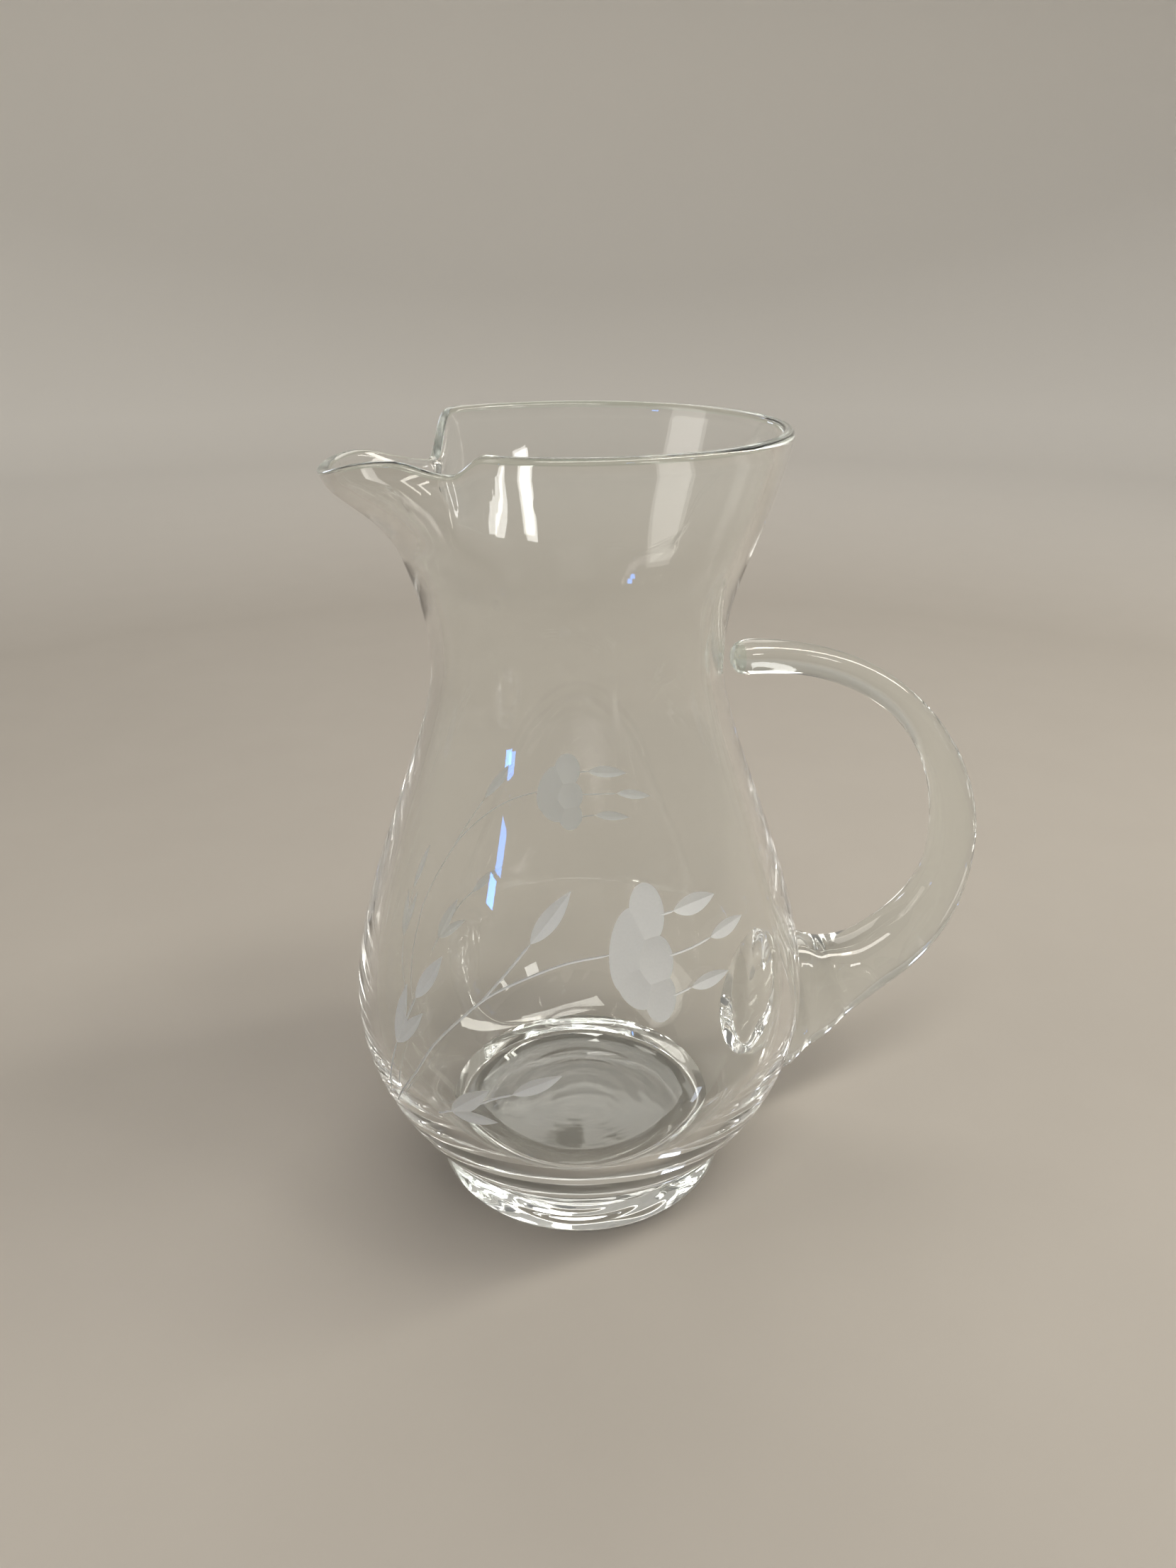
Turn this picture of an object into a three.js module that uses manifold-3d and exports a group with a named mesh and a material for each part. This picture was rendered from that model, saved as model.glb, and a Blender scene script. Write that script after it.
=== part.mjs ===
import * as THREE from 'three';
import { mergeVertices } from 'three/addons/utils/BufferGeometryUtils.js';
import Module from 'manifold-3d';

// Clear glass pitcher with a pinched lip and a pulled handle. Millimetres, +Z up.
// The origin is the centre of the flat underside of the foot. The handle points to +X, the lip to -X.

// Outside of the vessel, as radius and height. A pull is how far a curve holds its direction from that end.
const HEIGHT = 205;
const RIM_RADIUS = 49.8;
const RIM_LEAN = 77.5;
const NECK_RADIUS = 36.2;
const NECK_Z = 149.5;
const BELLY_RADIUS = 61.4;
const BELLY_Z = 54.5;
const FOOT_RADIUS = 41.2;
const FOOT_HEIGHT = 9.4;
const BOWL_RISE = 49;
const BOWL_PULL = { crease: 15.4, belly: 17.6 };
const SHOULDER_PULL = { belly: 32, neck: 19 };
const FLARE_PULL = { neck: 21, rim: 29 };

// Glass thickness.
const RIM_WALL = 3.0;
const NECK_WALL = 3.2;
const BELLY_WALL = 4.4;
const FLOOR_WALL = 4.6;
const FLOOR_RADIUS = 27;
const FLOOR_DISH = 0.6;
const FLOOR_RISE = 7.5;
const FLOOR_PULL = { edge: 14, belly: 17.4 };
const DISH_DEPTH = 4;
const FLOOR_Z = FOOT_HEIGHT - DISH_DEPTH + FLOOR_WALL;

// Pouring lip. It was pinched by hand, so its two sides differ: angles are counted from the lip's own
// plane to the bottom of the pinch and on to the corner where the rim is level again. The rim falls by crest
// beside the lip and by drop in the pinch. turn is the share of the way where one goes over into the other.
const BACK_SIDE = { pinch: 43, corner: 59, depth: 6.5, crest: 6.7, drop: 10.8, turn: 0.5 };
const FRONT_SIDE = { pinch: 42, corner: 57, depth: 4.3, crest: 2.6, drop: 5.2, turn: 0.72 };
const LIP_REACH = 9;
const LIP_DROP = 7.6;
const LIP_ROOT_Z = HEIGHT - 27;
const LIP_FULL_Z = HEIGHT - 6;
const LIP_FALL_Z = HEIGHT - 19;
const SCOOP_LAG = 2.2;

// Foot.
const FOOT_EDGE = 1.2;
const SEAM = 0.3;

// Handle, as radius and height of its centre line in the plane of the lip.
const ROOT_Z = 38.3;
const ROOT_DEPTH = 16;
const ROOT_RISE = 2.7;
const BOW_REACH = 111.3;
const BOW_Z = 84;
const TIP_Z = NECK_Z - 3.7;
const TIP_GAP = 4.5;
const TIP_RISE = 1.2;
const LOWER_PULL = { root: 56.8, bow: 16.8 };
const UPPER_PULL = { bow: 30, tip: 46 };
const ROOT_WIDTH = 26;
const ROOT_TALL = 40.7;
const ROOT_TUCK = 14;
const LOWER_DIAMETER = 20.1;
const BOW_DIAMETER = 13.7;
const ROD_DIAMETER = 8.3;
const TIP_DIAMETER = 9.2;
const COLLAR = 1.2;
const ROOT_FILLET = 3.0;

// Where along the handle, as shares of its length, each change of its thickness starts and ends.
const SPANS = {
  tuck: [0, 0.07],
  fillet: [0.06, 0.105],
  flare: [0.06, 0.235],
  collar: [0.125, 0.165],
  lower: [0.2, 0.47],
  upper: [0.44, 0.74],
  tip: [0.87, 0.97],
};

// Facets round the axis, drawn together towards the lip.
const AROUND = 72;
const CROWDING = 0.4;

const degrees = THREE.MathUtils.degToRad;
const smooth = (from, to, x) => THREE.MathUtils.smoothstep(x, from, to);
const along = (angle, length) => new THREE.Vector2(Math.cos(degrees(angle)), Math.sin(degrees(angle)))
  .multiplyScalar(length);
const bezier = (a, b, c, d) => new THREE.CubicBezierCurve(a, b, c, d);
const at = (r, z) => new THREE.Vector2(r, z);

// Shoulder and flare between belly, neck and rim, moved inwards by a thickness at each of the three.
function upperCurves(belly, neck, rim, top) {
  const widest = at(BELLY_RADIUS - belly, BELLY_Z);
  const narrow = at(NECK_RADIUS - neck, NECK_Z);
  const edge = at(RIM_RADIUS - rim, top);
  const aboveBelly = at(widest.x, BELLY_Z + SHOULDER_PULL.belly);
  const belowNeck = at(narrow.x, NECK_Z - SHOULDER_PULL.neck);
  const aboveNeck = at(narrow.x, NECK_Z + FLARE_PULL.neck);
  const belowRim = edge.clone().sub(along(RIM_LEAN, FLARE_PULL.rim));
  return {
    widest,
    shoulder: bezier(widest, aboveBelly, belowNeck, narrow),
    flare: bezier(narrow, aboveNeck, belowRim, edge),
  };
}

function outsidePoints(grow) {
  const crease = at(FOOT_RADIUS + grow, FOOT_HEIGHT);
  const { widest, shoulder, flare } = upperCurves(-grow, -grow, -grow, HEIGHT - RIM_WALL / 2);
  const aboveCrease = crease.clone().add(along(BOWL_RISE, BOWL_PULL.crease));
  const bowl = bezier(crease, aboveCrease, at(widest.x, BELLY_Z - BOWL_PULL.belly), widest);
  return [...bowl.getPoints(6), ...shoulder.getPoints(8).slice(1), ...flare.getPoints(10).slice(1)];
}

function insidePoints() {
  const { widest, shoulder, flare } = upperCurves(BELLY_WALL, NECK_WALL, RIM_WALL, HEIGHT - RIM_WALL / 2);
  const floorEdge = at(FLOOR_RADIUS, FLOOR_Z + FLOOR_DISH);
  const besideFloor = floorEdge.clone().add(along(FLOOR_RISE, FLOOR_PULL.edge));
  const bowl = bezier(floorEdge, besideFloor, at(widest.x, BELLY_Z - FLOOR_PULL.belly), widest);
  const wall = [...bowl.getPoints(7), ...shoulder.getPoints(7).slice(1), ...flare.getPoints(9).slice(1)];
  return [at(0, FLOOR_Z), ...wall];
}

// Under the bowl, from the axis out to the crease: a shallow dish that the foot fills.
function dishPoints(lower) {
  const rise = (share) => FOOT_HEIGHT - DISH_DEPTH * (1 - share * share) - lower;
  return [0, 0.4, 0.75, 1].map((share) => at(FOOT_RADIUS * share, rise(share)));
}

function rimPoints() {
  const half = RIM_WALL / 2;
  const bead = new THREE.EllipseCurve(RIM_RADIUS - half, HEIGHT - half, half, half, 0, Math.PI);
  return bead.getPoints(5).slice(1, -1);
}

// How far the rim moves out (reach) and down (drop) at an angle from the lip's plane.
function lipShift(angle, side) {
  if (angle > side.pinch) {
    return {
      reach: -side.depth * (1 - smooth(side.pinch, side.corner + 5, angle)),
      drop: side.drop * (1 - smooth(side.pinch, side.corner, angle)),
    };
  }
  const share = angle / side.pinch;
  const crest = THREE.MathUtils.lerp(LIP_DROP, side.crest, smooth(0, side.turn, share));
  return {
    reach: LIP_REACH - (LIP_REACH + side.depth) * share ** 2.2,
    drop: THREE.MathUtils.lerp(crest, side.drop, smooth(side.turn, 1, share)),
  };
}

function pullLip(point, lag) {
  const radius = Math.hypot(point.x, point.y);
  const angle = Math.abs(THREE.MathUtils.radToDeg(Math.atan2(point.y, -point.x)));
  if (point.z < LIP_ROOT_Z) return;
  const { reach, drop } = lipShift(angle, point.y < 0 ? FRONT_SIDE : BACK_SIDE);
  const out = (radius + reach * smooth(LIP_ROOT_Z, LIP_FULL_Z, point.z - lag)) / radius;
  const fall = Math.max(0, (point.z - LIP_FALL_Z) / (HEIGHT - LIP_FALL_Z)) ** 1.4;
  point.set(point.x * out, point.y * out, point.z - drop * fall);
}

function lathe(points) {
  const geometry = new THREE.LatheGeometry(points, AROUND).rotateX(Math.PI / 2);
  const position = geometry.attributes.position;
  for (let i = 0; i < position.count; i += 1) {
    const radius = Math.hypot(position.getX(i), position.getY(i));
    const angle = Math.atan2(position.getY(i), -position.getX(i));
    const moved = angle - CROWDING * Math.sin(angle);
    position.setX(i, -radius * Math.cos(moved));
    position.setY(i, radius * Math.sin(moved));
  }
  return geometry;
}

function vesselGeometry() {
  const outside = [...dishPoints(0), ...outsidePoints(0).slice(1)];
  const inside = insidePoints().reverse();
  const profile = [...outside, ...rimPoints(), ...inside];
  const geometry = lathe(profile);
  const position = geometry.attributes.position;
  const firstInside = outside.length + 2;
  for (let i = 0; i < position.count; i += 1) {
    const point = new THREE.Vector3().fromBufferAttribute(position, i);
    pullLip(point, i % profile.length > firstInside ? SCOOP_LAG : 0);
    position.setXYZ(i, point.x, point.y, point.z);
  }
  return geometry;
}

function footGeometry() {
  const centre = FOOT_RADIUS - FOOT_EDGE;
  const edge = new THREE.EllipseCurve(centre, FOOT_EDGE, FOOT_EDGE, FOOT_EDGE, -Math.PI / 2, 0);
  const top = dishPoints(SEAM).reverse();
  return lathe([at(0, 0), at(FOOT_RADIUS / 2, 0), ...edge.getPoints(4), ...top]);
}

// Centre line of the handle: out of the wall, round the bow and back to the neck.
function handleLine() {
  const root = at(BELLY_RADIUS - ROOT_DEPTH, ROOT_Z);
  const bow = at(BOW_REACH, BOW_Z);
  const tip = at(NECK_RADIUS + TIP_GAP, TIP_Z);
  const path = new THREE.CurvePath();
  const besideRoot = root.clone().add(along(ROOT_RISE, LOWER_PULL.root));
  const besideTip = tip.clone().add(along(TIP_RISE, UPPER_PULL.tip));
  path.add(bezier(root, besideRoot, at(BOW_REACH, BOW_Z - LOWER_PULL.bow), bow));
  path.add(bezier(bow, at(BOW_REACH, BOW_Z + UPPER_PULL.bow), besideTip, tip));
  return path;
}

// Half thickness of the handle, in its plane (tall) and across it (wide), by share of its length. The root
// runs out on the wall in a fillet and ends in a low collar, then the rod tapers to a slightly swollen tip.
function handleSection(share) {
  const after = ([from, to]) => smooth(from, to, share);
  const rod = LOWER_DIAMETER + (BOW_DIAMETER - LOWER_DIAMETER) * after(SPANS.lower)
    + (ROD_DIAMETER - BOW_DIAMETER) * after(SPANS.upper) + (TIP_DIAMETER - ROD_DIAMETER) * after(SPANS.tip);
  const flare = 1 - after(SPANS.flare);
  const tuck = ROOT_TUCK * (1 - after(SPANS.tuck));
  const collar = COLLAR * (1 - after(SPANS.collar)) + ROOT_FILLET * (1 - after(SPANS.fillet));
  return {
    tall: (rod + (ROOT_TALL - LOWER_DIAMETER) * flare - tuck) / 2 + collar,
    wide: (rod + (ROOT_WIDTH - LOWER_DIAMETER) * flare) / 2 + collar,
  };
}

function handleGeometry() {
  const path = handleLine();
  const stations = 56;
  const sides = 20;
  const length = path.getLength();
  const vertices = [];
  const push = (centre, across, tall, wide) => {
    for (let k = 0; k < sides; k += 1) {
      const turn = (k / sides) * 2 * Math.PI;
      const inPlane = across.clone().multiplyScalar(tall * Math.cos(turn)).add(centre);
      vertices.push(inPlane.x, wide * Math.sin(turn), inPlane.y);
    }
  };
  const ring = (share, shrink) => {
    const tangent = path.getTangentAt(share);
    const { tall, wide } = handleSection(share);
    push(path.getPointAt(share), at(-tangent.y, tangent.x), tall * shrink, wide * shrink);
  };
  for (let i = 0; i < stations; i += 1) ring((i / stations) * (1 - TIP_DIAMETER / 2 / length), 1);
  const dome = 5;
  for (let i = 0; i < dome; i += 1) {
    const turn = (i / dome) * (Math.PI / 2);
    ring(1 - (TIP_DIAMETER / 2) * (1 - Math.sin(turn)) / length, Math.cos(turn));
  }
  const rings = stations + dome;
  const start = path.getPointAt(0);
  const end = path.getPointAt(1);
  vertices.push(start.x, 0, start.y, end.x, 0, end.y);
  const index = [];
  for (let i = 0; i + 1 < rings; i += 1) {
    for (let k = 0; k < sides; k += 1) {
      const a = i * sides + k;
      const b = i * sides + ((k + 1) % sides);
      index.push(a, a + sides, b, b, a + sides, b + sides);
    }
  }
  const last = (rings - 1) * sides;
  for (let k = 0; k < sides; k += 1) {
    const next = (k + 1) % sides;
    index.push(rings * sides, k, next, rings * sides + 1, last + next, last + k);
  }
  const geometry = new THREE.BufferGeometry();
  geometry.setAttribute('position', new THREE.Float32BufferAttribute(vertices, 3));
  geometry.setIndex(index);
  return geometry;
}

const wasm = await Module();
wasm.setup();

function solid(geometry) {
  const bare = geometry.clone();
  bare.deleteAttribute('normal');
  bare.deleteAttribute('uv');
  const merged = mergeVertices(bare, 1e-3);
  return new wasm.Manifold(new wasm.Mesh({
    numProp: 3,
    vertProperties: new Float32Array(merged.attributes.position.array),
    triVerts: new Uint32Array(merged.index.array),
  }));
}

function geometryOf(manifold) {
  const mesh = manifold.getMesh();
  const geometry = new THREE.BufferGeometry();
  geometry.setAttribute('position', new THREE.Float32BufferAttribute(mesh.vertProperties, 3));
  geometry.setIndex(new THREE.Uint32BufferAttribute(mesh.triVerts, 1));
  geometry.computeVertexNormals();
  return geometry;
}

function fusedHandle() {
  const wall = outsidePoints(SEAM);
  const belly = solid(lathe([at(0, FOOT_HEIGHT), ...wall, at(0, wall[wall.length - 1].y)]));
  return geometryOf(solid(handleGeometry()).subtract(belly));
}

const group = new THREE.Group();
group.name = 'glass_pitcher';

function add(name, geometry, colour, roughness) {
  const material = new THREE.MeshStandardMaterial({ color: colour, roughness, metalness: 0 });
  const mesh = new THREE.Mesh(geometry, material);
  mesh.name = name;
  group.add(mesh);
}

add('vessel', vesselGeometry(), 0xdfe8e4, 0.05);
add('foot', footGeometry(), 0xd3e0da, 0.05);
add('handle', fusedHandle(), 0xcfded7, 0.05);

export default group;
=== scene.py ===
# Clear glass pitcher with a pinched lip, a pulled handle and a wheel-cut flower spray.
# The handle points to +X and the lip to -X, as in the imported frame. Sizes are in millimetres unless a name
# says otherwise, and each mesh is scaled to metres when it is made.
import math

import bpy
import numpy as np
from mathutils import Matrix, Vector


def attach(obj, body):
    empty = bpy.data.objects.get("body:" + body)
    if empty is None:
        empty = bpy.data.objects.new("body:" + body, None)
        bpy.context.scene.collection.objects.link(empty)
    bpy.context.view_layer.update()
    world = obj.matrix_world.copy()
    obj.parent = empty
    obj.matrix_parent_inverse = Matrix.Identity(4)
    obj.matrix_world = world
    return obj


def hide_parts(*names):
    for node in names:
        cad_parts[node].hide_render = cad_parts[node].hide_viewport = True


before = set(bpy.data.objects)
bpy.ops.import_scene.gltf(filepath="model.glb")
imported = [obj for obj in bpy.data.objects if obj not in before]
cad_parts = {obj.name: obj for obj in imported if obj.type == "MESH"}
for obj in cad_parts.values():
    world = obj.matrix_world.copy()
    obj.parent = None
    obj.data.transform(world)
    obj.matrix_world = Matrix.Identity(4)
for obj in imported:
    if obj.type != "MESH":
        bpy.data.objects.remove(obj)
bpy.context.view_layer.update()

MM = 0.001

# Outside of the vessel, as radius and height. A pull is how far a curve holds its direction from that end.
HEIGHT = 205
RIM_RADIUS = 49.8
RIM_LEAN = 77.5
NECK_RADIUS = 36.2
NECK_Z = 149.5
BELLY_RADIUS = 61.4
BELLY_Z = 54.5
FOOT_RADIUS = 41.2
FOOT_HEIGHT = 9.4
BOWL_RISE = 49
BOWL_PULL = (15.4, 17.6)
SHOULDER_PULL = (32, 19)
FLARE_PULL = (21, 29)

# Glass thickness, and the faint ripple of the floor, which fades in and out between these radii.
RIM_WALL = 3.0
NECK_WALL = 3.2
BELLY_WALL = 4.4
FLOOR_WALL = 4.6
FLOOR_RADIUS = 27
FLOOR_DISH = 0.6
FLOOR_RISE = 7.5
FLOOR_PULL = (14, 17.4)
DISH_DEPTH = 4
RIPPLE = 0.03
RIPPLE_PITCH = 5.5
RIPPLE_IN = (2, 9)
RIPPLE_OUT = (22, 29)
FLOOR_Z = FOOT_HEIGHT - DISH_DEPTH + FLOOR_WALL

# Pouring lip, pinched by hand: degrees from its plane to the bottom of the pinch and to the level rim. The
# rim falls by crest beside the lip and by drop in the pinch, and turns from one to the other part of the way
# along. Taper and curl shape the lip between its middle and the pinch, and down from the rim.
BACK_SIDE = {"pinch": 43, "corner": 59, "depth": 6.5, "crest": 6.7, "drop": 10.8, "turn": 0.5}
FRONT_SIDE = {"pinch": 42, "corner": 57, "depth": 4.3, "crest": 2.6, "drop": 5.2, "turn": 0.72}
LIP_REACH = 9
LIP_DROP = 7.6
LIP_TAPER = 2.2
LIP_CURL = 1.4
CORNER_EASE = 5
LIP_ROOT_Z = HEIGHT - 27
LIP_FULL_Z = HEIGHT - 6
LIP_FALL_Z = HEIGHT - 19
SCOOP_LAG = 2.2

# Round of the foot's lower edge.
FOOT_EDGE = 1.2

# Handle, as radius and height of its centre line in the plane of the lip.
ROOT_Z = 38.3
ROOT_DEPTH = 16
ROOT_RISE = 2.7
BOW_REACH = 111.3
BOW_Z = 84
TIP_Z = NECK_Z - 3.7
TIP_GAP = 4.5
TIP_RISE = 1.2
LOWER_PULL = (56.8, 16.8)
UPPER_PULL = (30, 46)
ROOT_WIDTH = 26
ROOT_TALL = 40.7
ROOT_TUCK = 14
ROOT_FILLET = 3.0
LOWER_DIAMETER = 20.1
BOW_DIAMETER = 13.7
ROD_DIAMETER = 8.3
TIP_DIAMETER = 9.2
COLLAR = 1.2

# Where along the handle, as shares of its length, each change of its thickness begins and ends.
TUCK_SPAN = (0, 0.07)
FILLET_SPAN = (0.06, 0.105)
FLARE_SPAN = (0.06, 0.235)
COLLAR_SPAN = (0.125, 0.165)
BOW_SPAN = (0.2, 0.47)
ROD_SPAN = (0.44, 0.74)
TIP_SPAN = (0.87, 0.97)

# Sheared end of the handle: how blunt its dome is, and the two waves round it that leave it ragged.
TIP_BLUNT = 0.62
TIP_RAGGED = 0.045
TIP_WAVES = (3, 5)
TIP_SECOND_WAVE = 0.6
TIP_WAVE_SHIFT = 2
TIP_TWIST = 4
TIP_SHEARED_FROM = 2

# How far the handle's glass runs into the wall.
SEAM_BITE = 0.05

# Facets round the axis, the handle, a petal and the studio, and points along each curve.
AROUND = 288
ROD_SIDES = 56
PETAL_SIDES = 48
SWEEP_SIDES = 96
OUTSIDE_STEPS = 30
INSIDE_STEPS = 26
FLOOR_POINTS = 61
DISH_POINTS = 10
BEAD_STEPS = 14
EDGE_POINTS = 9
UNDER_POINTS = 8
HANDLE_STEPS = 400
HANDLE_RINGS = 190
DOME_POINTS = 11
LEAF_POINTS = 25
BEND_POINTS = 21
PAPER_POINTS = 8

# Small lengths that keep a division or a comparison safe.
ON_AXIS = 1e-6
SLACK = 0.1

# Finishes of the vessel's slots, in order. The handle has its sheared end in the place of the rim.
CLEAR, RIM, MATT, FUSED = range(4)


def smooth(low, high, x):
    """Eases from 0 at low to 1 at high."""
    share = np.clip((x - low) / (high - low), 0.0, 1.0)
    return share * share * (3.0 - 2.0 * share)


def along(angle, length):
    """A step of this length at an angle in degrees."""
    return length * np.array([math.cos(math.radians(angle)), math.sin(math.radians(angle))])


def bezier(a, b, c, d, steps):
    """Points of the curve from a to d that b and c pull at."""
    t = np.linspace(0.0, 1.0, steps + 1)[:, None]
    a, b, c, d = (np.asarray(p, float) for p in (a, b, c, d))
    return (1 - t) ** 3 * a + 3 * t * (1 - t) ** 2 * b + 3 * t * t * (1 - t) * c + t ** 3 * d


def upper_curves(belly, neck, rim, steps):
    """Shoulder and flare of the wall, moved inwards by a thickness at belly, neck and rim."""
    widest = np.array([BELLY_RADIUS - belly, BELLY_Z])
    narrow = np.array([NECK_RADIUS - neck, NECK_Z])
    edge = np.array([RIM_RADIUS - rim, HEIGHT - RIM_WALL / 2])
    up = np.array([0.0, 1.0])
    shoulder = bezier(widest, widest + SHOULDER_PULL[0] * up, narrow - SHOULDER_PULL[1] * up, narrow, steps)
    flare = bezier(narrow, narrow + FLARE_PULL[0] * up, edge - along(RIM_LEAN, FLARE_PULL[1]), edge, steps)
    return shoulder, flare


def outside_curve(inset=0.0):
    """Outside of the wall from the crease over the foot to the rim, moved inwards by an inset."""
    shoulder, flare = upper_curves(inset, inset, inset, OUTSIDE_STEPS)
    crease = np.array([FOOT_RADIUS - inset, FOOT_HEIGHT])
    belly = shoulder[0]
    rise = crease + along(BOWL_RISE, BOWL_PULL[0])
    bowl = bezier(crease, rise, belly - (0, BOWL_PULL[1]), belly, OUTSIDE_STEPS)
    return np.vstack([bowl, shoulder[1:], flare[1:]])


def inside_curve():
    """Inside of the wall from the axis over the floor to the rim."""
    shoulder, flare = upper_curves(BELLY_WALL, NECK_WALL, RIM_WALL, INSIDE_STEPS)
    edge = np.array([FLOOR_RADIUS, FLOOR_Z + FLOOR_DISH])
    belly = shoulder[0]
    rise = edge + along(FLOOR_RISE, FLOOR_PULL[0])
    bowl = bezier(edge, rise, belly - (0, FLOOR_PULL[1]), belly, INSIDE_STEPS)
    share = np.linspace(0.0, 1.0, FLOOR_POINTS)[:, None]
    floor = share * [FLOOR_RADIUS, 0] + share ** 2 * [0, FLOOR_DISH] + [0, FLOOR_Z]
    return np.vstack([floor, bowl[1:], shoulder[1:], flare[1:]])


def dish_curve():
    """Seam of bowl and foot, from the axis to the crease: the foot's top is a shallow dish under the bowl."""
    share = np.linspace(0.0, 1.0, DISH_POINTS)[:, None]
    return share * [FOOT_RADIUS, 0] + share ** 2 * [0, DISH_DEPTH] + [0, FOOT_HEIGHT - DISH_DEPTH]


def bead_curve():
    """The round of the rim, from the outside over to the inside."""
    turn = np.linspace(0.0, math.pi, BEAD_STEPS + 1)[1:-1, None]
    half = RIM_WALL / 2
    return np.hstack([RIM_RADIUS - half + half * np.cos(turn), HEIGHT - half + half * np.sin(turn)])


def lip_shift(angle, side):
    """How far the rim moves out and down at an angle from the lip's plane."""
    pinch, corner, depth, turn = side["pinch"], side["corner"], side["depth"], side["turn"]
    share = np.clip(angle / pinch, 0.0, 1.0)
    crest = LIP_DROP + (side["crest"] - LIP_DROP) * smooth(0, turn, share)
    reach = LIP_REACH - (LIP_REACH + depth) * share ** LIP_TAPER
    drop = crest + (side["drop"] - crest) * smooth(turn, 1, share)
    past = angle > pinch
    reach = np.where(past, -depth * (1 - smooth(pinch, corner + CORNER_EASE, angle)), reach)
    drop = np.where(past, side["drop"] * (1 - smooth(pinch, corner, angle)), drop)
    return reach, drop


def pull_lip(points, lag):
    """Draws the lip out of the flared rim. lag holds the inside back, which makes the scoop."""
    x, y, z = points.T
    angle = np.abs(np.degrees(np.arctan2(y, -x)))
    front_reach, front_drop = lip_shift(angle, FRONT_SIDE)
    back_reach, back_drop = lip_shift(angle, BACK_SIDE)
    reach = np.where(y < 0, front_reach, back_reach) * smooth(LIP_ROOT_Z, LIP_FULL_Z, z - lag)
    fall = np.clip((z - LIP_FALL_Z) / (HEIGHT - LIP_FALL_Z), 0.0, None) ** LIP_CURL
    radius = np.maximum(np.hypot(x, y), ON_AXIS)
    out = 1 + reach / radius
    return np.stack([x * out, y * out, z - np.where(y < 0, front_drop, back_drop) * fall], axis=1)


def piece(name, points, faces, slots, finish=None):
    """A new object from points in millimetres. finish gives each face's place in slots."""
    mesh = bpy.data.meshes.new(name)
    mesh.from_pydata((np.asarray(points) * MM).tolist(), [], faces)
    for material in slots:
        mesh.materials.append(material)
    if finish is not None:
        mesh.polygons.foreach_set("material_index", finish)
    mesh.polygons.foreach_set("use_smooth", [True] * len(faces))
    mesh.update()
    made = bpy.data.objects.new(name, mesh)
    bpy.context.scene.collection.objects.link(made)
    return made


def capped_tube(rows, sides):
    """Faces of rows of points round a tube, closed by a point at each end. Those two points come last."""
    start, end, last = rows * sides, rows * sides + 1, (rows - 1) * sides
    faces = []
    for k in range(sides):
        n = (k + 1) % sides
        faces.append((start, n, k))
        for i in range(0, last, sides):
            faces.append((i + k, i + n, i + sides + n, i + sides + k))
        faces.append((end, last + k, last + n))
    return faces


def spin(profile):
    """Points and faces of a closed body of revolution. The profile starts and ends on the axis."""
    turn = 2 * math.pi * np.arange(AROUND) / AROUND
    inner = np.asarray(profile)[1:-1]
    rings = np.stack([inner[:, :1] * np.cos(turn), inner[:, :1] * np.sin(turn),
                      np.repeat(inner[:, 1:], AROUND, axis=1)], axis=-1)
    points = np.vstack([rings.reshape(-1, 3), [[0, 0, profile[0][1]], [0, 0, profile[-1][1]]]])
    return points, capped_tube(len(inner), AROUND)


def ripple_floor(points):
    """Leaves the faint spiral of the turning iron in the glass floor, seen only by what it bends."""
    x, y, z = points.T
    radius = np.hypot(x, y)
    on_floor = (z > FLOOR_Z - SLACK) & (z < FLOOR_Z + FLOOR_DISH + SLACK) & (radius < FLOOR_RADIUS)
    fade = smooth(*RIPPLE_IN, radius) * (1 - smooth(*RIPPLE_OUT, radius))
    spiral = np.sin(radius / RIPPLE_PITCH * 2 * math.pi + np.arctan2(y, x))
    points[:, 2] += np.where(on_floor, RIPPLE * fade * spiral, 0.0)


def blown_vessel(slots):
    """The bowl in one closed profile: under the bowl, up the outside, over the rim and down the inside."""
    dish, outside, bead, inside = dish_curve(), outside_curve(), bead_curve(), inside_curve()[::-1]
    profile = np.vstack([dish[:-1], outside, bead, inside])
    points, faces = spin(profile)
    lag = np.concatenate([np.zeros(len(dish) + len(outside) - 1),
                          SCOOP_LAG * smooth(0, 1, np.linspace(0, 1, len(bead))),
                          np.full(len(inside), SCOOP_LAG)])
    lag = np.append(np.repeat(lag[1:-1], AROUND), [0.0, 0.0])
    ripple_floor(points)
    band = np.full(len(profile) - 1, CLEAR)
    band[:len(dish) - 1] = FUSED
    rim_start = len(dish) + len(outside) - 2
    band[rim_start:rim_start + len(bead) + 1] = RIM
    return piece("vessel_glass", pull_lip(points, lag), faces, slots, np.tile(band, AROUND))


def pressed_foot(slots):
    """The disc under the bowl, flat below, with its top dished to meet the bowl."""
    turn = np.linspace(-math.pi / 2, 0.0, EDGE_POINTS)[:, None]
    centre = FOOT_RADIUS - FOOT_EDGE
    edge = np.hstack([centre + FOOT_EDGE * np.cos(turn), FOOT_EDGE + FOOT_EDGE * np.sin(turn)])
    under = np.linspace(0.0, 1.0, UNDER_POINTS)[:-1, None] * [centre, 0.0]
    side = np.array([[FOOT_RADIUS, FOOT_HEIGHT / 2]])
    top = dish_curve()[::-1]
    profile = np.vstack([under, edge, side, top])
    points, faces = spin(profile)
    clear, fused = 0, 1
    band = np.full(len(profile) - 1, clear)
    band[-(len(top) - 1):] = fused
    return piece("foot_glass", points, faces, slots, np.tile(band, AROUND))


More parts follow.
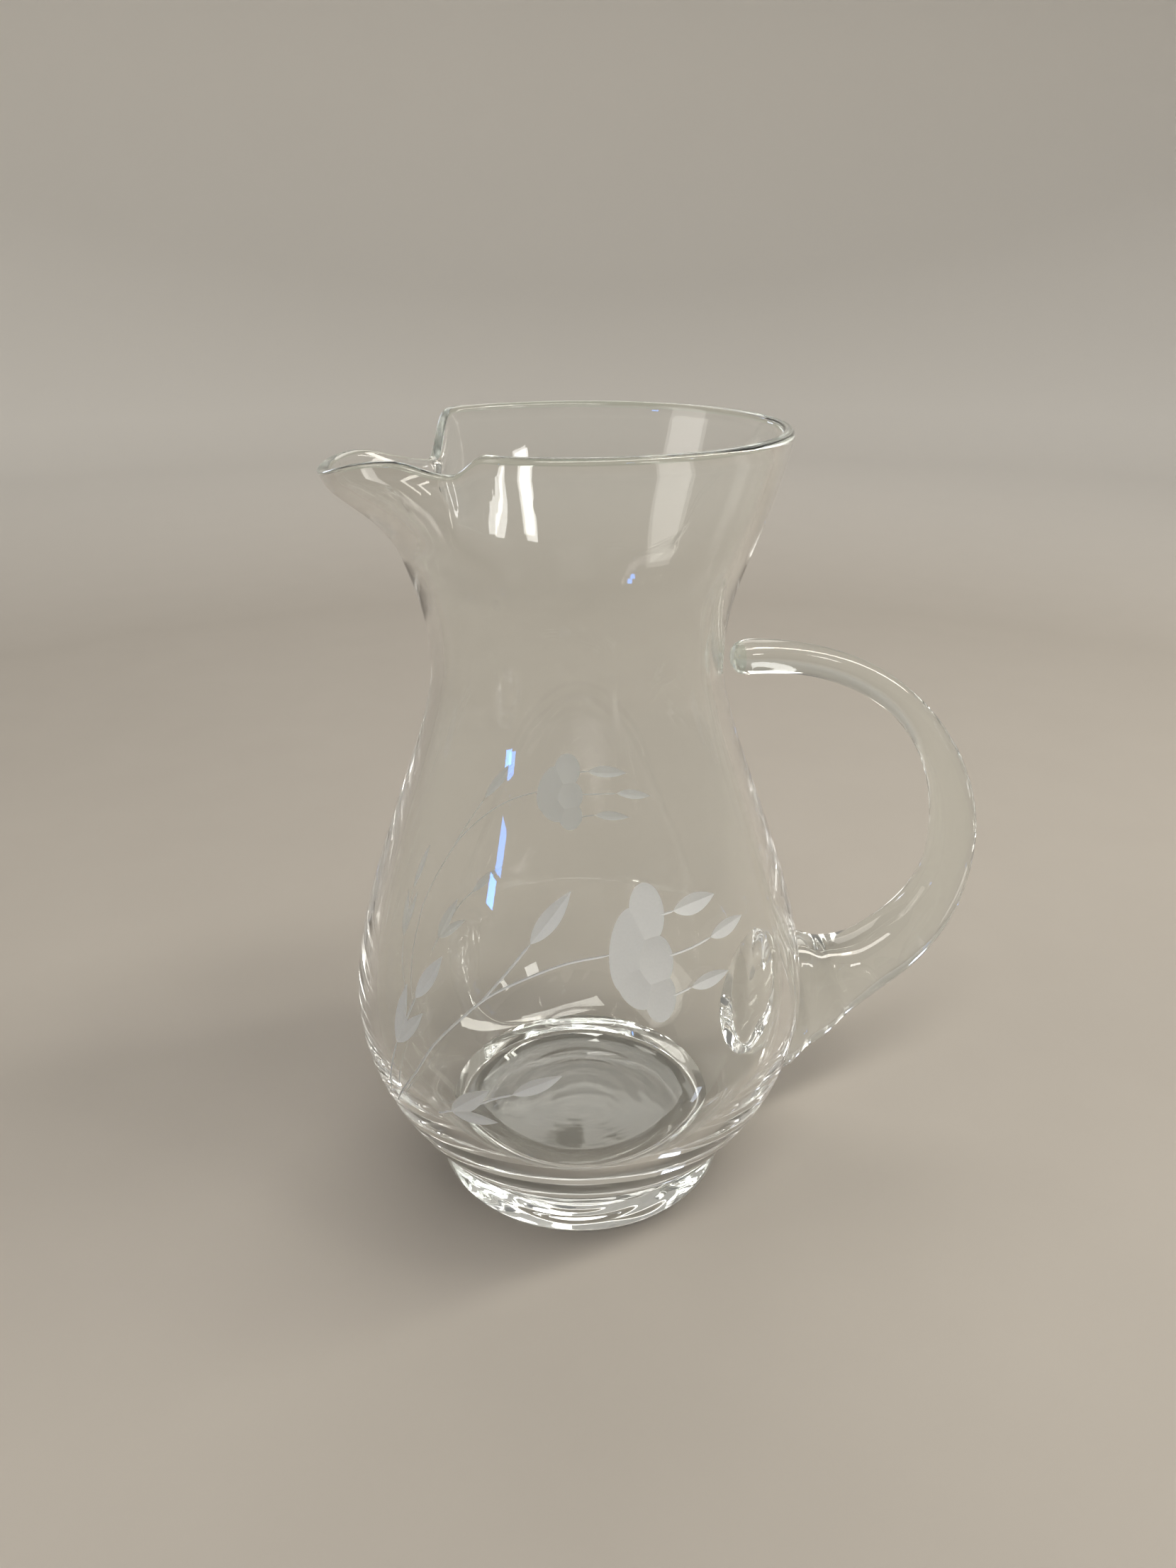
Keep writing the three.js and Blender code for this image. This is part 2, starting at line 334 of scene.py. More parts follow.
def handle_section(share):
    """Half thickness of the handle in its plane and across it, by share of its length."""
    rod = (LOWER_DIAMETER + (BOW_DIAMETER - LOWER_DIAMETER) * smooth(*BOW_SPAN, share)
           + (ROD_DIAMETER - BOW_DIAMETER) * smooth(*ROD_SPAN, share)
           + (TIP_DIAMETER - ROD_DIAMETER) * smooth(*TIP_SPAN, share))
    flare = 1 - smooth(*FLARE_SPAN, share)
    collar = COLLAR * (1 - smooth(*COLLAR_SPAN, share)) + ROOT_FILLET * (1 - smooth(*FILLET_SPAN, share))
    tuck = ROOT_TUCK * (1 - smooth(*TUCK_SPAN, share))
    tall = (rod + (ROOT_TALL - LOWER_DIAMETER) * flare - tuck) / 2 + collar
    wide = (rod + (ROOT_WIDTH - LOWER_DIAMETER) * flare) / 2 + collar
    return tall, wide


def handle_line():
    """Centre line of the handle, and its length up to each point."""
    root = np.array([BELLY_RADIUS - ROOT_DEPTH, ROOT_Z])
    bow = np.array([BOW_REACH, BOW_Z])
    tip = np.array([NECK_RADIUS + TIP_GAP, TIP_Z])
    leave, reach = root + along(ROOT_RISE, LOWER_PULL[0]), tip + along(TIP_RISE, UPPER_PULL[1])
    lower = bezier(root, leave, bow - (0, LOWER_PULL[1]), bow, HANDLE_STEPS)
    upper = bezier(bow, bow + (0, UPPER_PULL[0]), reach, tip, HANDLE_STEPS)
    line = np.vstack([lower, upper[1:]])
    length = np.concatenate([[0.0], np.cumsum(np.hypot(*np.diff(line, axis=0).T))])
    return line, length


def pulled_handle(slots):
    """The tapering rod: rings along its line, and a blunt, lightly ragged dome at the free end."""
    line, length = handle_line()
    total = length[-1]
    dome = TIP_DIAMETER / 2
    stations = np.linspace(0.0, total - dome, HANDLE_RINGS)
    turn = np.linspace(0.0, math.pi / 2, DOME_POINTS)[1:-1]
    where = np.concatenate([stations, total - dome * (1 - np.sin(turn))])
    shrink = np.concatenate([np.ones(len(stations)), np.cos(turn) ** TIP_BLUNT])
    slope = np.gradient(line, length, axis=0)
    centre = np.stack([np.interp(where, length, line[:, k]) for k in range(2)], axis=1)
    heading = np.stack([np.interp(where, length, slope[:, k]) for k in range(2)], axis=1)
    heading /= np.linalg.norm(heading, axis=1)[:, None]
    across = np.stack([-heading[:, 1], heading[:, 0]], axis=1)
    tall, wide = handle_section(where / total)
    sides = 2 * math.pi * np.arange(ROD_SIDES) / ROD_SIDES
    rise = np.concatenate([np.zeros(len(stations)), np.sin(turn)])[:, None]
    drift = np.concatenate([np.zeros(len(stations)), TIP_TWIST * turn])[:, None]
    first = np.sin(TIP_WAVES[0] * sides + drift)
    second = TIP_SECOND_WAVE * np.sin(TIP_WAVES[1] * sides - drift - TIP_WAVE_SHIFT)
    ragged = 1 + TIP_RAGGED * rise * (first + second)
    in_plane = (tall * shrink)[:, None] * np.cos(sides) * ragged
    across_plane = (wide * shrink)[:, None] * np.sin(sides) * ragged
    rings = np.stack([centre[:, :1] + across[:, :1] * in_plane, across_plane,
                      centre[:, 1:] + across[:, 1:] * in_plane], axis=-1)
    ends = [[line[k, 0], 0, line[k, 1]] for k in (0, -1)]
    points = np.vstack([rings.reshape(-1, 3), ends])
    faces = [face[:1] + face[:0:-1] for face in capped_tube(len(where), ROD_SIDES)]
    finish = np.where(np.arange(len(where) + 1) > len(stations) + TIP_SHEARED_FROM, RIM, CLEAR)
    return piece("handle_glass", points, faces, slots, np.tile(finish, ROD_SIDES))


def cut(body, tools):
    """Takes the tools' shapes out of the body. The new faces keep the tools' places in the slots."""
    rack = bpy.data.collections.new("rack")
    bpy.context.scene.collection.children.link(rack)
    for tool in tools:
        rack.objects.link(tool)
    taken = body.modifiers.new("cut", "BOOLEAN")
    taken.operation = "DIFFERENCE"
    taken.solver = "MANIFOLD"
    taken.material_mode = "INDEX"
    taken.operand_type = "COLLECTION"
    taken.collection = rack
    with bpy.context.temp_override(object=body, active_object=body):
        bpy.ops.object.modifier_apply(modifier=taken.name)
    bpy.data.collections.remove(rack)


def discard(tools):
    """Deletes tools that have done their work."""
    for tool in tools:
        mesh = tool.data
        bpy.data.objects.remove(tool)
        bpy.data.meshes.remove(mesh)


# Outside of the wall, as a line that the engraver's cuts follow.
WALL = outside_curve()
WALL_SLOPE = np.gradient(WALL[:, 0], WALL[:, 1])

# Cutting tools: the rings of a petal's dish as shares of its outline, and how far each tool stands out of the
# wall at its edge and in its middle.
PETAL_RINGS = (0.3, 0.55, 0.75, 0.9, 1.0, 1.12)
PETAL_EDGE_LIFT = 0.9
PETAL_CROWN_LIFT = 1.2
MITRE_LIFT = 0.35


def on_wall(azimuth, height, lift):
    """Points lift millimetres out of the wall, at an azimuth in degrees and a height."""
    radius = np.interp(height, WALL[:, 1], WALL[:, 0])
    slope = np.interp(height, WALL[:, 1], WALL_SLOPE)
    tilt = 1 / np.sqrt(1 + slope * slope)
    out = radius + lift * tilt
    turn = np.radians(azimuth)
    return np.stack([out * np.cos(turn), out * np.sin(turn), height - lift * slope * tilt], axis=-1)


def beside(azimuth, height, right, up):
    """The place on the wall that lies right and up, in millimetres along the surface, from another."""
    slope = np.interp(height, WALL[:, 1], WALL_SLOPE)
    higher = height + up / np.sqrt(1 + slope * slope)
    return azimuth + np.degrees(right / np.interp(higher, WALL[:, 1], WALL[:, 0])), higher


def petal_tool(azimuth, height, half_width, half_height, lean, depth, slots):
    """A flat lens cut: an oval dish that meets the wall along the petal's outline."""
    turn = np.linspace(0, 2 * math.pi, PETAL_SIDES, endpoint=False)
    lean = math.radians(lean)
    spread = np.array(PETAL_RINGS)[:, None]
    u = spread * half_width * np.cos(turn)
    v = spread * half_height * np.sin(turn)
    right = u * math.cos(lean) - v * math.sin(lean)
    up = u * math.sin(lean) + v * math.cos(lean)
    azimuths, heights = beside(azimuth, height, right, up)
    dish = on_wall(azimuths, heights, depth * (spread ** 2 - 1))
    lid = on_wall(azimuths[-1], heights[-1], PETAL_EDGE_LIFT)
    middle = on_wall(azimuth, height, -depth)
    crown = on_wall(azimuth, height, PETAL_CROWN_LIFT)
    points = np.vstack([dish.reshape(-1, 3), lid, middle, crown])
    faces = capped_tube(len(PETAL_RINGS) + 1, PETAL_SIDES)
    return piece("petal_tool", points, faces, slots, [MATT] * len(faces))


def mitre_tool(places, half_width, depth, slots):
    """A V cut along places on the wall, as wide and deep at each of them as is said."""
    azimuth, height = places.T
    radius = np.interp(height, WALL[:, 1], WALL[:, 0])
    slope = np.interp(height, WALL[:, 1], WALL_SLOPE)
    run = np.stack([np.radians(np.gradient(azimuth)) * radius,
                    np.gradient(height) * np.sqrt(1 + slope ** 2)], axis=1)
    run /= np.linalg.norm(run, axis=1)[:, None]
    reach = half_width * (depth + MITRE_LIFT) / depth
    left = on_wall(*beside(azimuth, height, -run[:, 1] * reach, run[:, 0] * reach), MITRE_LIFT)
    right = on_wall(*beside(azimuth, height, run[:, 1] * reach, -run[:, 0] * reach), MITRE_LIFT)
    bottom = on_wall(azimuth, height, -depth)
    points = np.stack([right, bottom, left], axis=1).reshape(-1, 3)
    corners = 3
    end = len(points) - corners
    faces = [(0, 2, 1)]
    for i in range(0, end, corners):
        for k in range(corners):
            n = (k + 1) % corners
            faces.append((i + k, i + n, i + corners + n, i + corners + k))
    faces.append((end, end + 1, end + 2))
    return piece("mitre_tool", points, faces, slots, [MATT] * len(faces))


def through(points, steps):
    """A smooth line through places on the wall."""
    points = np.asarray(points, float)
    if len(points) == 2:
        return points[0] + np.linspace(0, 1, steps)[:, None] * (points[1] - points[0])
    padded = np.vstack([2 * points[0] - points[1], points, 2 * points[-1] - points[-2]])
    short_of_end = 1e-9
    t = np.linspace(0, len(points) - 1 - short_of_end, steps)
    i = t.astype(int)
    t = (t - i)[:, None]
    a, b, c, d = (padded[i + k] for k in range(4))
    square, cube = 2 * a - 5 * b + 4 * c - d, 3 * b - a - 3 * c + d
    return 0.5 * (2 * b + (c - a) * t + square * t ** 2 + cube * t ** 3)


# The spray on the side that faces -Y, as azimuths in degrees and heights: it climbs from under the lip to the
# blossom and its three leaves. The other side has the same spray, mirrored and cut a little lower. A leaf
# goes from base to tip and has a width. A petal has a place, half width, half height, lean in degrees and
# depth.
STEMS = [
    [(-154.6, 41.8), (-144.1, 57.4), (-138.6, 67.6), (-132.1, 76.3), (-124.7, 84.1), (-115.8, 89.7),
     (-105.4, 93.9), (-93.5, 95.7)],
    [(-126.5, 82.6), (-120.3, 90.7), (-114.9, 97.7)],
    [(-137.2, 48.9), (-133.2, 51.7)],
    [(-134.5, 50.6), (-127.1, 55.7), (-121.5, 59.5), (-117.6, 61.4)],
    [(-156.5, 44.0), (-153.1, 55.3), (-150.8, 63.0)],
    [(-150.8, 63.0), (-148.0, 70.2), (-145.5, 77.5)],
    [(-82.0, 102.5), (-76.9, 102.8)],
    [(-81.0, 93.2), (-73.9, 93.6), (-67.0, 94.4)],
    [(-81.5, 83.8), (-74.8, 84.8)],
]
LEAVES = [
    ((-76.9, 102.8), (-63.1, 103.4), 5.0),
    ((-67.0, 94.4), (-54.8, 95.6), 4.0),
    ((-74.8, 84.8), (-63.3, 85.2), 3.8),
    ((-114.9, 97.7), (-104.8, 109.6), 4.4),
    ((-133.2, 51.7), (-123.2, 61.2), 4.5),
    ((-132.7, 51.3), (-121.2, 52.5), 3.5),
    ((-117.6, 61.4), (-106.5, 67.7), 3.6),
    ((-150.8, 63.0), (-149.2, 79.5), 4.0),
    ((-150.5, 63.2), (-142.5, 74.7), 3.7),
    ((-145.5, 77.5), (-138.9, 90.0), 4.0),
]
PETALS = [
    (-84.5, 103.6, 4.2, 7.1, 3, 0.42),
    (-90.4, 95.9, 4.35, 10.0, -8, 0.45),
    (-89.0, 87.9, 4.0, 6.4, 28, 0.42),
    (-83.1, 84.1, 3.85, 5.8, -4, 0.5),
    (-83.6, 92.6, 4.5, 6.4, 0, 0.7),
]

# Stems thin out over their last few points. Leaves swell between their ends, and are cut deeper where they
# are wide.
STEM_WIDTH = 0.6
STEM_DEPTH = 0.22
STEM_POINTS = 6
STEM_POINTS_EACH = 8
STEM_TAPER = 4
STEM_END = 0.25
LEAF_STEEP = 0.2
LEAF_SWELL = 0.85
LEAF_END = 0.05

# Degrees and millimetres by which the mirrored spray is moved.
BACK_SPRAY_SHIFT = (-3.0, -7.0)


def engrave(vessel, slots):
    """Cuts both sprays: stems, leaves and the petals that lie over each other."""
    tools = []
    for side, shift in ((1, (0.0, 0.0)), (-1, BACK_SPRAY_SHIFT)):
        turned, moved = np.array([side, 1.0]), np.array(shift)
        for stem in STEMS:
            line = through(stem, STEM_POINTS + STEM_POINTS_EACH * len(stem)) * turned + moved
            step = np.arange(len(line))
            ends = np.minimum(1.0, np.minimum(step, step[::-1]) / STEM_TAPER + STEM_END)
            tools.append(mitre_tool(line, STEM_WIDTH / 2 * ends, STEM_DEPTH * ends, slots))
        for base, tip, width in LEAVES:
            share = np.linspace(0.0, 1.0, LEAF_POINTS)
            line = through([base, tip], LEAF_POINTS) * turned + moved
            swell = np.maximum(np.sin(math.pi * share ** LEAF_SWELL) ** LEAF_SWELL, LEAF_END)
            tools.append(mitre_tool(line, width / 2 * swell, width * LEAF_STEEP * swell, slots))
        for azimuth, height, half_width, half_height, lean, depth in PETALS:
            azimuth, height = np.array([azimuth, height]) * turned + moved
            tools.append(petal_tool(azimuth, height, half_width, half_height, side * lean, depth, slots))
    cut(vessel, tools)
    discard(tools)


# Edges between facets that meet at more than this many degrees are sharp, between cut facets sooner.
CREASE = 50.0
CUT_CREASE = 5.0

# The plain wall, clear of the crease over the foot and of the lip.
POLISHED_FROM_Z = FOOT_HEIGHT + 1
POLISHED_TO_Z = LIP_ROOT_Z - 2


def read(items, key, kind=int, width=1):
    """A mesh's own values as an array, width of them to a row."""
    values = np.empty(len(items) * width, kind)
    items.foreach_get(key, values)
    return values if width == 1 else values.reshape(-1, width)


def set_edges(body):
    """Marks edges sharp where finishes meet, where cut facets meet, and at creases."""
    mesh = body.data
    finish = read(mesh.polygons, "material_index")
    normal = read(mesh.polygons, "normal", float, 3)
    edge = read(mesh.loops, "edge_index")
    face = np.repeat(np.arange(len(mesh.polygons)), read(mesh.polygons, "loop_total"))
    order = np.argsort(edge, kind="stable")
    edge, face = edge[order], face[order]
    pair = np.flatnonzero(edge[1:] == edge[:-1])
    one, two = face[pair], face[pair + 1]
    angle = np.degrees(np.arccos(np.clip((normal[one] * normal[two]).sum(1), -1, 1)))
    both_cut = (finish[one] == MATT) & (finish[two] == MATT)
    sharp = (angle > CREASE) | (both_cut & (angle > CUT_CREASE))
    sharp |= (finish[one] != finish[two]) & ((finish[one] > RIM) | (finish[two] > RIM))
    marks = np.zeros(len(mesh.edges), bool)
    marks[edge[pair][sharp]] = True
    mesh.edges.foreach_set("use_edge_sharp", marks)
    mesh.update()


def true_normals(vessel):
    """Gives the polished outside its true normals beside the cuts, where facets are only slivers."""
    mesh = vessel.data
    points = read(mesh.vertices, "co", float, 3) / MM
    finish = np.repeat(read(mesh.polygons, "material_index"), read(mesh.polygons, "loop_total"))
    x, y, z = points[read(mesh.loops, "vertex_index")].T
    radius = np.hypot(x, y)
    slope = np.interp(z, WALL[:, 1], WALL_SLOPE)
    outside = np.abs(radius - np.interp(z, WALL[:, 1], WALL[:, 0])) < SLACK
    outside &= (finish == CLEAR) & (z > POLISHED_FROM_Z) & (z < POLISHED_TO_Z)
    tilt = 1 / np.sqrt(1 + slope * slope)
    safe = np.maximum(radius, ON_AXIS)
    normal = np.stack([x / safe * tilt, y / safe * tilt, -slope * tilt], axis=1)
    normal[~outside] = 0.0
    mesh.normals_split_custom_set(normal.tolist())


def colour(code):
    """Linear colour of an sRGB hex value, by the standard curve."""
    parts = [int(code[i:i + 2], 16) / 255 for i in (1, 3, 5)]
    return tuple(c / 12.92 if c <= 0.04045 else ((c + 0.055) / 1.055) ** 2.4 for c in parts) + (1.0,)


def put(tree, kind, inputs=None, **settings):
    """Adds a node. Each input is a value, or the socket that feeds it."""
    made = tree.nodes.new(kind)
    for key, value in settings.items():
        setattr(made, key, value)
    for key, value in (inputs or {}).items():
        if isinstance(value, bpy.types.NodeSocket):
            tree.links.new(value, made.inputs[key])
        else:
            made.inputs[key].default_value = value
    return made


def new_material(name):
    """A material with an empty node tree."""
    material = bpy.data.materials.new(name)
    material.use_nodes = True
    material.node_tree.nodes.clear()
    return material, material.node_tree


def per_metre(millimetres):
    """Scale of a noise texture, in object space, whose features are this far apart."""
    return 1 / (millimetres * MM)


# Soda-lime glass bends light by this index. Its pattern sizes are in millimetres: the slow wobble of the wall
# and its height as a share of that, the chilled skin of the sheared end, and the grit of the stone wheel,
# which is drawn coarser than it is so that it shows.
GLASS_IOR = 1.52
WOBBLE = 30
WOBBLE_SHARE = 0.004
CHILL = 1.6
CHILL_HEIGHT = 0.35
GRIT = 0.5
GRIT_HEIGHT = 0.05


def soda_lime_glass(name, tint):
    """Soda-lime glass, fire-polished: clear with a breath of green, mirror smooth, with the slow wobble of a
    wall that was worked hot."""
    material, tree = new_material(name)
    place = put(tree, "ShaderNodeTexCoord")
    wobble = put(tree, "ShaderNodeTexNoise", {"Vector": place.outputs["Object"], "Scale": per_metre(WOBBLE),
                                              "Detail": 1.0, "Roughness": 0.4})
    bump = put(tree, "ShaderNodeBump", {"Height": wobble.outputs["Fac"], "Strength": 1.0,
                                        "Distance": WOBBLE * MM * WOBBLE_SHARE})
    glass = put(tree, "ShaderNodeBsdfPrincipled", {
        "Base Color": colour(tint), "Roughness": 0.012, "IOR": GLASS_IOR, "Transmission Weight": 1.0,
        "Normal": bump.outputs["Normal"]})
    put(tree, "ShaderNodeOutputMaterial", {"Surface": glass.outputs["BSDF"]})
    return material


def sheared_glass():
    """Soda-lime glass cut with shears while it was soft: greenish where it is thick, with a chilled, uneven
    skin."""
    material, tree = new_material("sheared_soda_lime_glass")
    place = put(tree, "ShaderNodeTexCoord")
    chill = put(tree, "ShaderNodeTexNoise", {"Vector": place.outputs["Object"], "Scale": per_metre(CHILL),
                                             "Detail": 3.0, "Roughness": 0.55})
    bump = put(tree, "ShaderNodeBump", {"Height": chill.outputs["Fac"], "Strength": 1.0,
                                        "Distance": CHILL_HEIGHT * MM})
    glass = put(tree, "ShaderNodeBsdfPrincipled", {
        "Base Color": colour("#E4F4EC"), "Roughness": 0.12, "IOR": GLASS_IOR, "Transmission Weight": 1.0,
        "Normal": bump.outputs["Normal"]})
    put(tree, "ShaderNodeOutputMaterial", {"Surface": glass.outputs["BSDF"]})
    return material


def wheel_cut_glass():
    """Glass ground with a stone wheel and left matt: a fine grey-white bloom that scatters what is behind
    it, half of it from the skin and half from the light that comes through."""
    material, tree = new_material("wheel_cut_matt_glass")
    place = put(tree, "ShaderNodeTexCoord")
    grit = put(tree, "ShaderNodeTexNoise", {"Vector": place.outputs["Object"], "Scale": per_metre(GRIT),
                                            "Detail": 3.0, "Roughness": 0.6})
    shade = put(tree, "ShaderNodeMix", {"Factor": grit.outputs["Fac"], "A": colour("#F0F2F2"),
                                        "B": colour("#FAFCFC")}, data_type="RGBA")
    bump = put(tree, "ShaderNodeBump", {"Height": grit.outputs["Fac"], "Strength": 0.35,
                                        "Distance": GRIT_HEIGHT * MM})
    glass = put(tree, "ShaderNodeBsdfPrincipled", {
        "Base Color": shade.outputs["Result"], "Roughness": 0.5, "IOR": GLASS_IOR, "Transmission Weight": 0.1,
        "Normal": bump.outputs["Normal"]})
    bloom = put(tree, "ShaderNodeBsdfTranslucent", {"Color": shade.outputs["Result"],
                                                    "Normal": bump.outputs["Normal"]})
    both = put(tree, "ShaderNodeMixShader", {0: 0.5, 1: glass.outputs["BSDF"], 2: bloom.outputs["BSDF"]})
    put(tree, "ShaderNodeOutputMaterial", {"Surface": both.outputs["Shader"]})
    return material


def fused_seam():
    """Where two gathers of hot glass ran together there is no surface, so nothing shows."""
    material, tree = new_material("fused_glass_seam")
    clear = put(tree, "ShaderNodeBsdfTransparent", {"Color": (1, 1, 1, 1)})
    put(tree, "ShaderNodeOutputMaterial", {"Surface": clear.outputs["BSDF"]})
    return material


# Studio paper: the cloud of its pulp in millimetres, and the metres from the middle over which it turns pale.
PULP = 40
PALE_SPAN = (0.6, 1.5)


def paper_sweep():
    """Matt studio paper, pale warm grey, with the faint cloud of its pulp."""
    material, tree = new_material("studio_paper")
    place = put(tree, "ShaderNodeTexCoord")
    pulp = put(tree, "ShaderNodeTexNoise", {"Vector": place.outputs["Object"], "Scale": per_metre(PULP),
                                            "Detail": 4.0})
    fibre = put(tree, "ShaderNodeMix", {"Factor": pulp.outputs["Fac"], "A": colour("#A9A39B"),
                                        "B": colour("#ADA79F")}, data_type="RGBA")
    away = put(tree, "ShaderNodeVectorMath", {0: place.outputs["Object"]}, operation="LENGTH")
    pale = put(tree, "ShaderNodeMapRange", {"Value": away.outputs["Value"], "From Min": PALE_SPAN[0],
                                            "From Max": PALE_SPAN[1]})
    shade = put(tree, "ShaderNodeMix", {"Factor": pale.outputs["Result"], "A": fibre.outputs["Result"],
                                        "B": colour("#EFECE7")}, data_type="RGBA")
    paper = put(tree, "ShaderNodeBsdfPrincipled", {"Base Color": shade.outputs["Result"], "Roughness": 0.9,
                                                   "Specular IOR Level": 0.2})
    put(tree, "ShaderNodeOutputMaterial", {"Surface": paper.outputs["BSDF"]})
    return material


def build_pitcher():
    """Makes the handle, fits it to the bowl, and then makes, fits and engraves the bowl over its foot."""
    clear = soda_lime_glass("clear_soda_lime_glass", "#FDFEFD")
    rim = soda_lime_glass("rim_soda_lime_glass", "#EDF8F2")
    thick = soda_lime_glass("thick_soda_lime_glass", "#FAFDFB")
    matt, seam = wheel_cut_glass(), fused_seam()
    slots = [clear, rim, matt, seam]

    sheared = sheared_glass()
    handle = pulled_handle([thick, sheared, matt, seam])
    bowl = outside_curve(SEAM_BITE)
    points, faces = spin(np.vstack([[0, FOOT_HEIGHT], bowl, [0, bowl[-1, 1]]]))
    bowl_tool = piece("bowl_tool", points, faces, slots, [FUSED] * len(faces))
    cut(handle, [bowl_tool])
    discard([bowl_tool])

    vessel = blown_vessel(slots)
    cut(vessel, [handle])
    engrave(vessel, slots)
    foot = pressed_foot([thick, seam])
    for body in (vessel, handle, foot):
        set_edges(body)
    true_normals(vessel)
    return vessel, foot, handle


vessel, foot, handle = build_pitcher()
for body, node, slot in ((vessel, "vessel", "vessel_glass"), (foot, "foot", "foot_glass"),
                         (handle, "handle", "handle_glass")):
    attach(body, "root")
    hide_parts(node)

# Studio, in metres: a round paper floor that curves up all round, so that every view has it behind. The air
# above it glows a little, more so higher up.
FLOOR_GAP = 0.0001
FLOOR_REACH = 1.3
BEND = 0.5
WALL_TOP = 1.4
AIR_GLOW = 0.2
AIR_FULL = 0.9


def studio_sweep():
    """Spins the paper's line round the middle, from a point on the floor to the top of the wall."""
    bend = np.linspace(-math.pi / 2, 0.0, BEND_POINTS)[:, None]
    curve = np.hstack([FLOOR_REACH + BEND * np.cos(bend), BEND + BEND * np.sin(bend)])
    flat = np.linspace(0.0, FLOOR_REACH, PAPER_POINTS)[:-1, None] * [1.0, 0.0]
    line = np.vstack([flat, curve, [FLOOR_REACH + BEND, WALL_TOP]])
    turn = 2 * math.pi * np.arange(SWEEP_SIDES) / SWEEP_SIDES
    points = [(0.0, 0.0, -FLOOR_GAP / MM)]
    for r, z in line[1:]:
        points += [(r * math.cos(t) / MM, r * math.sin(t) / MM, (z - FLOOR_GAP) / MM) for t in turn]
    faces = [(0, 1 + k, 1 + (k + 1) % SWEEP_SIDES) for k in range(SWEEP_SIDES)]
    for i in range(len(line) - 2):
        low, high = 1 + i * SWEEP_SIDES, 1 + (i + 1) * SWEEP_SIDES
        for k in range(SWEEP_SIDES):
            n = (k + 1) % SWEEP_SIDES
            faces.append((low + k, high + k, high + n, low + n))
    sweep = piece("studio_sweep", points, faces, [paper_sweep()])


def lamp(name, place, aim, size, radiance, shade, roll=0.0, grid=None):
    """A soft rectangular lamp that faces a point, turned on its own axis by roll degrees. A grid in front of
    it, with an opening in degrees, keeps its light off the paper beside the aim."""
    light = bpy.data.lights.new(name, "AREA")
    light.shape = "RECTANGLE"
    light.size, light.size_y = size
    light.energy = radiance * math.pi * size[0] * size[1]
    if grid:
        half = math.radians(grid / 2)
        light.spread = 2 * half
        light.energy *= 1 - half / math.tan(half)
    light.color = colour(shade)[:3]
    made = bpy.data.objects.new(name, light)
    facing = (Vector(aim) - Vector(place)).to_track_quat("-Z", "Y").to_matrix().to_4x4()
    made.matrix_world = Matrix.Translation(place) @ facing @ Matrix.Rotation(math.radians(roll), 4, "Z")
    made.visible_camera = False
    bpy.context.scene.collection.objects.link(made)


